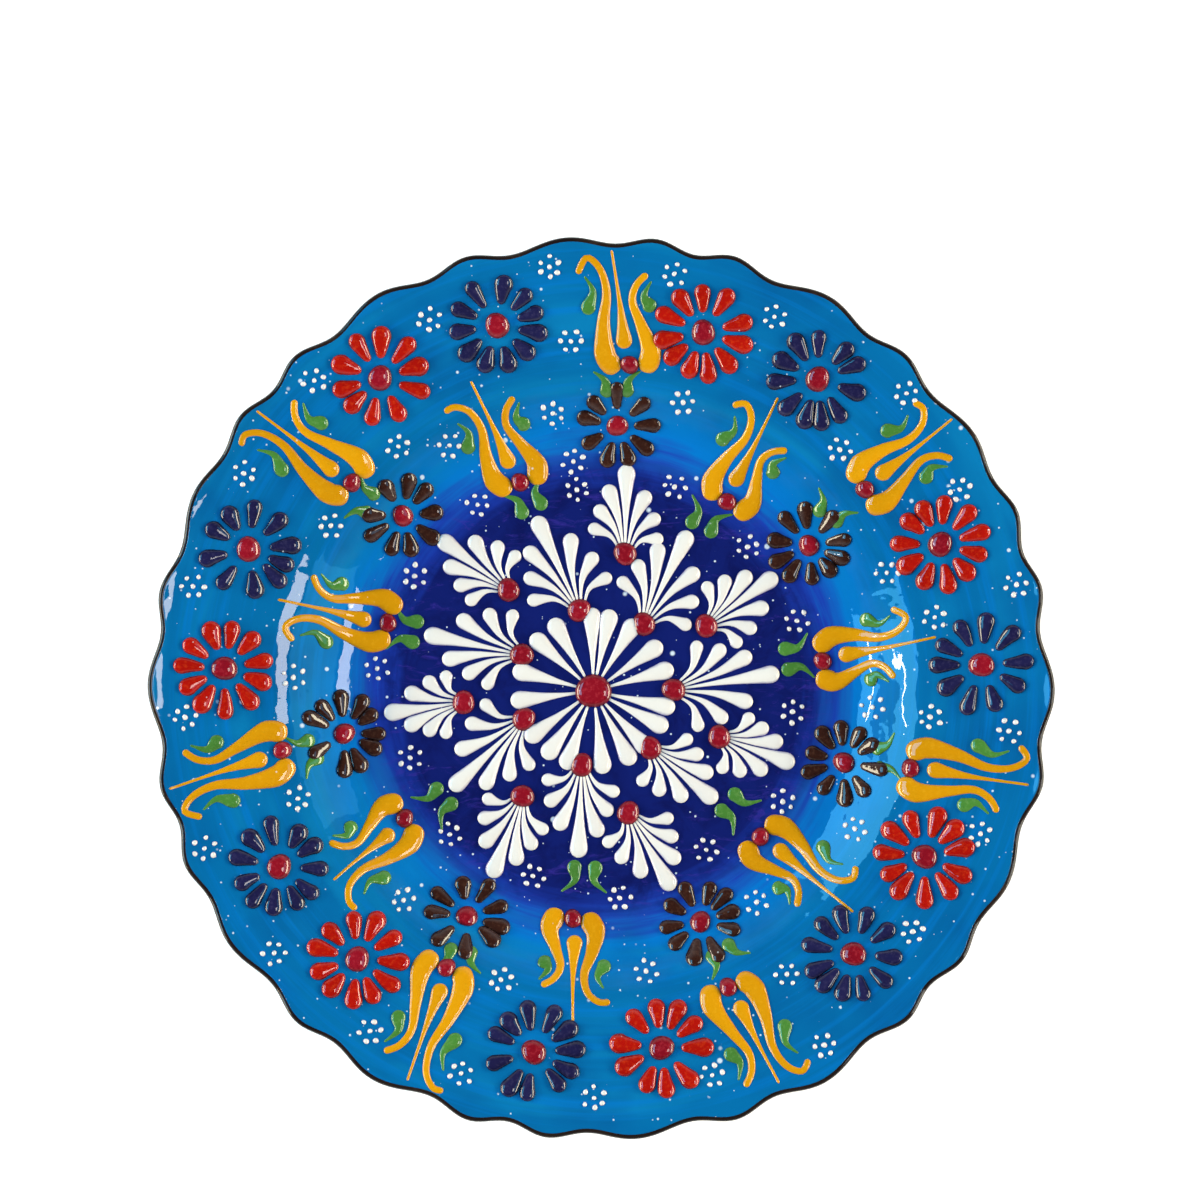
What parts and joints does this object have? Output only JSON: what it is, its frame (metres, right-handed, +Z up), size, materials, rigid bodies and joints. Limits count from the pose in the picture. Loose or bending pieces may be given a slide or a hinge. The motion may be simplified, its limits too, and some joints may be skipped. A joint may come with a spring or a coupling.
{
  "type": "decorative ceramic plate",
  "caption": "Round shallow plate with a scalloped rim and a foot ring, decorated with raised enamel flowers, tulips and a white medallion on blue glaze",
  "frame": {"origin": "centre of the foot ring, on the surface that the plate rests on", "axes": "+Z is up out of the well, +Y is towards the top of the pattern, +X is to its right"},
  "size_m": [0.2514, 0.25, 0.0296],
  "materials": {
    "fired_clay": "glossy clear glaze over pale clay",
    "turquoise_glaze": "glossy",
    "cobalt_glaze": "glossy",
    "black_glaze": "glossy",
    "bead_enamel": "glossy",
    "red_enamel": "glossy",
    "navy_enamel": "glossy",
    "brown_enamel": "glossy",
    "yellow_enamel": "glossy",
    "green_enamel": "glossy",
    "white_enamel": "glossy"
  },
  "bodies": {
    "root": {"plate_body": "fired_clay", "turquoise_coat": "turquoise_glaze", "cobalt_coat": "cobalt_glaze", "rim_line": "black_glaze", "medallion_centre_bead": "bead_enamel", "medallion_beads": "bead_enamel", "medallion_rays": "white_enamel", "tulip_beads": "bead_enamel", "flower_centre_beads": "bead_enamel", "leaves": "green_enamel", "white_dots": "white_enamel", "inner_palmette_1": "white_enamel", "inner_palmette_2": "white_enamel", "inner_palmette_3": "white_enamel", "inner_palmette_4": "white_enamel", "inner_palmette_5": "white_enamel", "inner_palmette_6": "white_enamel", "inner_palmette_7": "white_enamel", "outer_palmette_1": "white_enamel", "outer_palmette_2": "white_enamel", "outer_palmette_3": "white_enamel", "outer_palmette_4": "white_enamel", "outer_palmette_5": "white_enamel", "outer_palmette_6": "white_enamel", "outer_palmette_7": "white_enamel", "outer_tulip_1": "yellow_enamel", "outer_tulip_2": "yellow_enamel", "outer_tulip_3": "yellow_enamel", "outer_tulip_4": "yellow_enamel", "outer_tulip_5": "yellow_enamel", "outer_tulip_6": "yellow_enamel", "outer_tulip_7": "yellow_enamel", "inner_tulip_1": "yellow_enamel", "inner_tulip_2": "yellow_enamel", "inner_tulip_3": "yellow_enamel", "inner_tulip_4": "yellow_enamel", "inner_tulip_5": "yellow_enamel", "inner_tulip_6": "yellow_enamel", "inner_tulip_7": "yellow_enamel", "red_flower_1": "red_enamel", "red_flower_2": "red_enamel", "red_flower_3": "red_enamel", "red_flower_4": "red_enamel", "red_flower_5": "red_enamel", "red_flower_6": "red_enamel", "red_flower_7": "red_enamel", "navy_flower_1": "navy_enamel", "navy_flower_2": "navy_enamel", "navy_flower_3": "navy_enamel", "navy_flower_4": "navy_enamel", "navy_flower_5": "navy_enamel", "navy_flower_6": "navy_enamel", "navy_flower_7": "navy_enamel", "brown_flower_1": "brown_enamel", "brown_flower_2": "brown_enamel", "brown_flower_3": "brown_enamel", "brown_flower_4": "brown_enamel", "brown_flower_5": "brown_enamel", "brown_flower_6": "brown_enamel", "brown_flower_7": "brown_enamel"}
  },
  "joints": []
}
